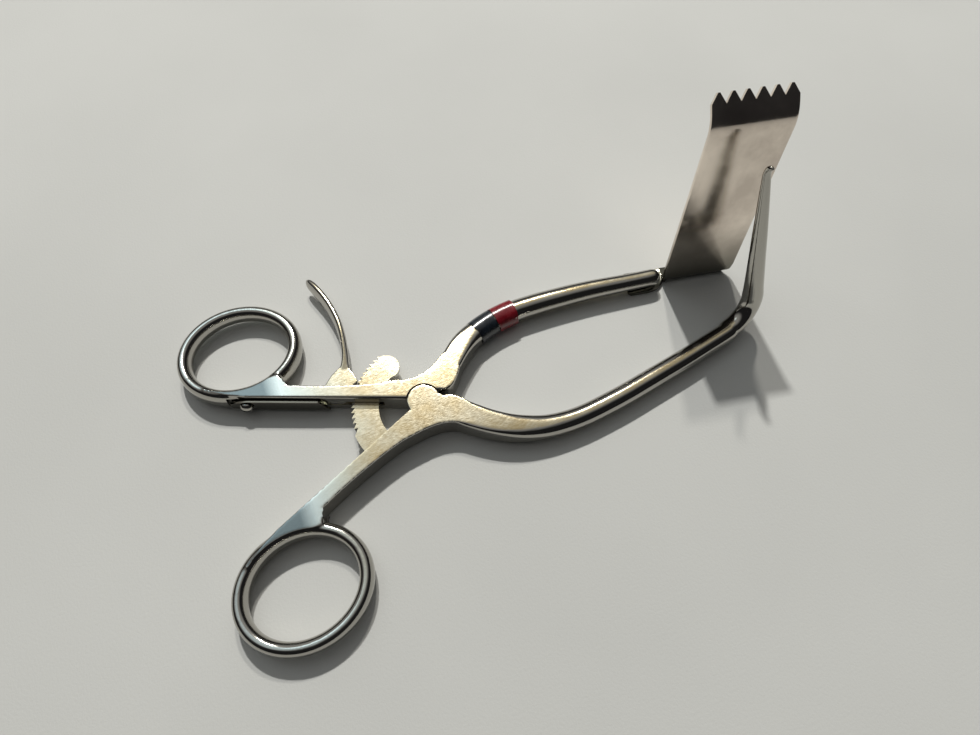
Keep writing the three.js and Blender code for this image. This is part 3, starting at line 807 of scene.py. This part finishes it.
def wound_band(name, start, end, seed):
    """A turn and a bit of tape: its outside steps up where the end laps over the start."""
    curve = through([row[:3] for row in BLADE_RUN], 40)
    run = [p for p in curve if start <= p[0] <= end]
    mesh = bmesh.new()
    sides, count = 72, len(run)
    shells = []
    for shell in (0, 1):
        rows = []
        for i, place in enumerate(run):
            place = Vector(place)
            ahead = (Vector(run[min(i + 1, count - 1)]) - Vector(run[max(i - 1, 0)])).normalized()
            side = ahead.cross(UP).normalized()
            above = side.cross(ahead)
            at_end = -1 if i == 0 else 1 if i == count - 1 else 0
            ring = []
            for k in range(sides):
                turn = k / sides
                angle = 2 * math.pi * turn + 2.4
                lap = 0.10 * min(turn * 6, 1) + 0.05 * turn
                radius = 3.24 if shell == 0 else 3.47 + lap
                ragged = 0.09 * math.sin(angle * 3 + seed) + 0.05 * math.sin(angle * 7 + 2 * seed)
                point = place + (side * math.cos(angle) + above * math.sin(angle)) * radius
                ring.append(mesh.verts.new(point + ahead * ragged * at_end))
            rows.append(ring)
        shells.append(rows)
    for rows in shells:
        for one, two in zip(rows, rows[1:]):
            for k in range(sides):
                j = (k + 1) % sides
                mesh.faces.new((one[k], one[j], two[j], two[k]))
    for end_row in (0, -1):
        inner, outer = shells[0][end_row], shells[1][end_row]
        for k in range(sides):
            j = (k + 1) % sides
            mesh.faces.new((inner[k], inner[j], outer[j], outer[k]))
    return to_object(mesh, name)


class BuildTape(bpy.types.Operator):
    """Two coloured bands of tape round the blade arm's rod"""
    bl_idname = "retractor.tape"
    bl_label = "Marking tape"

    def execute(self, context):
        for name, node, start, end, seed in (
            ("black tape", "tape_black", 19.8, 25.95, 1.3), ("red tape", "tape_red", 26.1, 32.4, 4.1),
        ):
            band = wound_band(name.replace(" ", "_") + "_band", start, end, seed)
            shade(band, 50)
            finished(band, "blade_side", node, material(name))
        return {"FINISHED"}


# ---- blade ----------------------------------------------------------------------------------------

BLADE_FOOT = Vector((87.0, 9.3, 0))
BLADE_TURN = math.radians(-11.5)
BLADE_HALF = 10.25
LEAN = math.radians(5)
TOOTHED = math.radians(43)


def blade_profile():
    """The blade's middle line seen from its edge, as (away from the spike, height) from flange to teeth.

    Also gives where the last bend ends and which way the toothed end runs from there.
    """
    points = [(4.9, 0.5), (3.6, 0.5)]
    bend = 2.3
    sweep = math.pi / 2 - LEAN
    centre = (0.5 + bend, 0.5 + bend)
    for i in range(13):
        angle = -math.pi / 2 - sweep * i / 12
        points.append((centre[0] + bend * math.cos(angle), centre[1] + bend * math.sin(angle)))
    start = Vector(points[-1])
    straight = Vector((math.sin(LEAN), math.cos(LEAN)))
    length = (51.5 - start.y) / straight.y
    for i in range(1, 25):
        points.append(tuple(start + straight * length * i / 24))
    here = Vector(points[-1])
    for i in range(1, 21):
        angle = LEAN + (TOOTHED - LEAN) * (i - 0.5) / 20
        here = here + Vector((math.sin(angle), math.cos(angle))) * 0.2885
        points.append(tuple(here))
    bend_end = here.copy()
    way = Vector((math.sin(TOOTHED), math.cos(TOOTHED)))
    for i in range(1, 9):
        points.append(tuple(bend_end + way * 4.03 * i / 8))
    return points, bend_end, way


def half_widths(height, side):
    """Half the blade's width at a height: the corners at the foot are rounded, more on the tip side."""
    radius = 4.6 if side > 0 else 1.6
    if height < radius:
        drop = radius - height
        return BLADE_HALF - (radius - math.sqrt(max(radius * radius - drop * drop, 0.0))) * 0.8
    return BLADE_HALF


class BuildBlade(bpy.types.Operator):
    """Bent sheet blade with a toothed end and a flange under the rod"""
    bl_idname = "retractor.blade"
    bl_label = "Blade"

    def execute(self, context):
        points, bend_end, way = blade_profile()
        mesh = bmesh.new()
        columns = 40
        half = 0.48
        layers = []
        for offset in (-half, half):
            grid = []
            for i, (y, z) in enumerate(points):
                before = Vector(points[max(i - 1, 0)])
                after = Vector(points[min(i + 1, len(points) - 1)])
                ahead = (after - before).normalized()
                out = Vector((ahead.y, -ahead.x)) * offset
                left, right = half_widths(z, -1), half_widths(z, 1)
                grid.append([mesh.verts.new((-left + (left + right) * c / columns, y + out.x, z + out.y))
                             for c in range(columns + 1)])
            layers.append(grid)
        rows = len(points)
        for grid in layers:
            for i in range(rows - 1):
                for c in range(columns):
                    mesh.faces.new((grid[i][c], grid[i][c + 1], grid[i + 1][c + 1], grid[i + 1][c]))
        one, two = layers
        for i in range(rows - 1):
            for c in (0, columns):
                mesh.faces.new((one[i][c], one[i + 1][c], two[i + 1][c], two[i][c]))
        for c in range(columns):
            for i in (0, rows - 1):
                mesh.faces.new((one[i][c], one[i][c + 1], two[i][c + 1], two[i][c]))
        blade = to_object(mesh, "toothed_blade")

        pitch = 2 * BLADE_HALF / 6
        gap = [(-0.46 * pitch, 2.6), (0, 0), (0.46 * pitch, 2.6), (0.46 * pitch, 5), (-0.46 * pitch, 5)]
        row = prism("notches", gap, -3, 3)
        row.data.transform(Matrix.Translation((-BLADE_HALF * MM, 0, 0)))
        repeat(row, material("sheet steel"), Count=7, Shift=(pitch * MM, 0, 0), Seed=5, Step=0.0)
        root = bend_end + way * 1.63
        lay = Matrix((
            (1, 0, 0, 0),
            (0, way.x, way.y, root.x * MM),
            (0, way.y, -way.x, root.y * MM),
            (0, 0, 0, 1),
        ))
        row.data.transform(lay)
        row.data.flip_normals()
        boolean(blade, row)

        strip = [(-9.0, 4.85), (-20.4, 4.85), (-20.8, 4.2), (-20.8, -1.6), (-20.1, -2.3)]
        strip += through([(-15.2, -2.3), (-12.8, -1.9), (-11.0, -0.9), (-9.9, 0.4), (-9.0, 0.5)], 6)
        boolean(blade, prism("strip", strip, 0.02, 0.92), "UNION")
        soften(blade, 0.14, 2, 35)
        blade.data.transform(Matrix.Translation(BLADE_FOOT * MM) @ Matrix.Rotation(BLADE_TURN, 4, "Z"))
        shade(blade, 35)
        finished(blade, "blade_side", "retractor_blade", material("sheet steel"))
        return {"FINISHED"}


# ---- pins and stage -------------------------------------------------------------------------------

class FinishPins(bpy.types.Operator):
    """Gives the two hidden pins their steel"""
    bl_idname = "retractor.pins"
    bl_label = "Pins"

    def execute(self, context):
        for node in ("hinge_pin", "lever_pin"):
            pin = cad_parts[node]
            pin.data.materials.clear()
            pin.data.materials.append(material("forged steel"))
        return {"FINISHED"}


def soft_light(name, place, target, size, power, colour):
    lamp = bpy.data.lights.new(name, "AREA")
    lamp.shape = "SQUARE"
    lamp.size = size
    lamp.energy = power
    lamp.color = colour
    obj = bpy.data.objects.new(name, lamp)
    obj.location = place
    obj.rotation_mode = "QUATERNION"
    obj.rotation_quaternion = (Vector(target) - Vector(place)).to_track_quat("-Z", "Y")
    bpy.context.scene.collection.objects.link(obj)
    return obj


# Lamps of the room: name, direction, width, power and colour.
LAMPS = (
    ("first lamp", (0.122, 0.614, 0.781), 0.06, 21.6, (1.0, 0.99, 0.95)),
    ("second lamp", (0.246, 0.610, 0.753), 0.08, 9.0, (1.0, 0.96, 0.88)),
)
LAMP_AWAY = 2
LAMP_TARGET = (0.03, 0, 0)

# Soft glows of the room: direction, angle where each fades out, angle where it is full, and its colour.
GLOWS = (
    ((0.0, 0.42, 0.90), 60, 24, (0.40, 0.40, 0.39)),
    ((-0.22, 0.46, 0.86), 12, 5, (1.15, 1.28, 1.3)),
)


class BuildStage(bpy.types.Operator):
    """Pale table, two lamps, the room's soft glow and the camera"""
    bl_idname = "retractor.stage"
    bl_label = "Table, light and camera"

    def execute(self, context):
        mesh = bmesh.new()
        bmesh.ops.create_grid(mesh, x_segments=8, y_segments=8, size=1500)
        table = to_object(mesh, "table")
        table.location.z = FRAME_BOX[0][2] - 0.00005
        table.data.materials.append(material("pale table"))

        world = bpy.data.worlds.new("room")
        context.scene.world = world
        world.use_nodes = True
        nodes, links = world.node_tree.nodes, world.node_tree.links
        nodes.clear()
        out = nodes.new("ShaderNodeOutputWorld")
        sky = nodes.new("ShaderNodeBackground")
        place = nodes.new("ShaderNodeTexCoord")
        shade = (0.02, 0.02, 0.021, 1)
        for way, wide, tight, glow in GLOWS:
            near = nodes.new("ShaderNodeVectorMath")
            near.operation = "DOT_PRODUCT"
            near.inputs[1].default_value = Vector(way).normalized()
            spread = nodes.new("ShaderNodeMapRange")
            spread.interpolation_type = "SMOOTHSTEP"
            spread.inputs["From Min"].default_value = math.cos(math.radians(wide))
            spread.inputs["From Max"].default_value = math.cos(math.radians(tight))
            room = nodes.new("ShaderNodeMix")
            room.data_type = "RGBA"
            if isinstance(shade, tuple):
                room.inputs[6].default_value = shade
            else:
                links.new(shade, room.inputs[6])
            room.inputs[7].default_value = (*glow, 1)
            links.new(place.outputs["Generated"], near.inputs[0])
            links.new(near.outputs["Value"], spread.inputs["Value"])
            links.new(spread.outputs[0], room.inputs[0])
            shade = room.outputs[2]
        links.new(shade, sky.inputs["Color"])
        links.new(sky.outputs[0], out.inputs["Surface"])

        for name, way, size, power, colour in LAMPS:
            soft_light(name, Vector(way) * LAMP_AWAY, LAMP_TARGET, size, power, colour)

        lens = bpy.data.cameras.new("camera")
        lens.sensor_width = 36
        lens.lens = 24.45
        lens.clip_start = 0.005
        lens.dof.use_dof = False
        camera = bpy.data.objects.new("camera", lens)
        ahead = Vector((0.1695, 0.4125, -0.8949)).normalized()
        above = Vector((0.340, 0.828, 0.446))
        right = ahead.cross(above).normalized()
        above = right.cross(ahead)
        turn = Matrix((right, above, -ahead)).transposed().to_4x4()
        camera.matrix_world = Matrix.Translation((-0.0103, -0.0698, 0.1626)) @ turn
        context.scene.collection.objects.link(camera)
        context.scene.camera = camera
        context.scene.view_settings.view_transform = "Standard"
        return {"FINISHED"}


class RetractorPanel(bpy.types.Panel):
    """Lists the pieces and the settings"""
    bl_idname = "VIEW3D_PT_retractor"
    bl_label = "Retractor"
    bl_space_type = "VIEW_3D"
    bl_region_type = "UI"
    bl_category = "Retractor"

    def draw(self, context):
        for name in RetractorSettings.__annotations__:
            self.layout.prop(context.scene.retractor, name)
        for piece in PIECES:
            self.layout.operator(piece.bl_idname)


PIECES = (
    BuildSpikeArm, BuildBladeArm, BuildRatchetBar, BuildReleaseLever, BuildSpring, BuildTape, BuildBlade,
    FinishPins, BuildStage,
)
CLASSES = (RetractorSettings, *PIECES, RetractorPanel)


def register():
    for item in CLASSES:
        bpy.utils.register_class(item)
    bpy.types.Scene.retractor = bpy.props.PointerProperty(type=RetractorSettings)


def unregister():
    del bpy.types.Scene.retractor
    for item in reversed(CLASSES):
        bpy.utils.unregister_class(item)


def main():
    register()
    for piece in PIECES:
        group, name = piece.bl_idname.split(".")
        getattr(getattr(bpy.ops, group), name)()


if __name__ == "__main__":
    main()
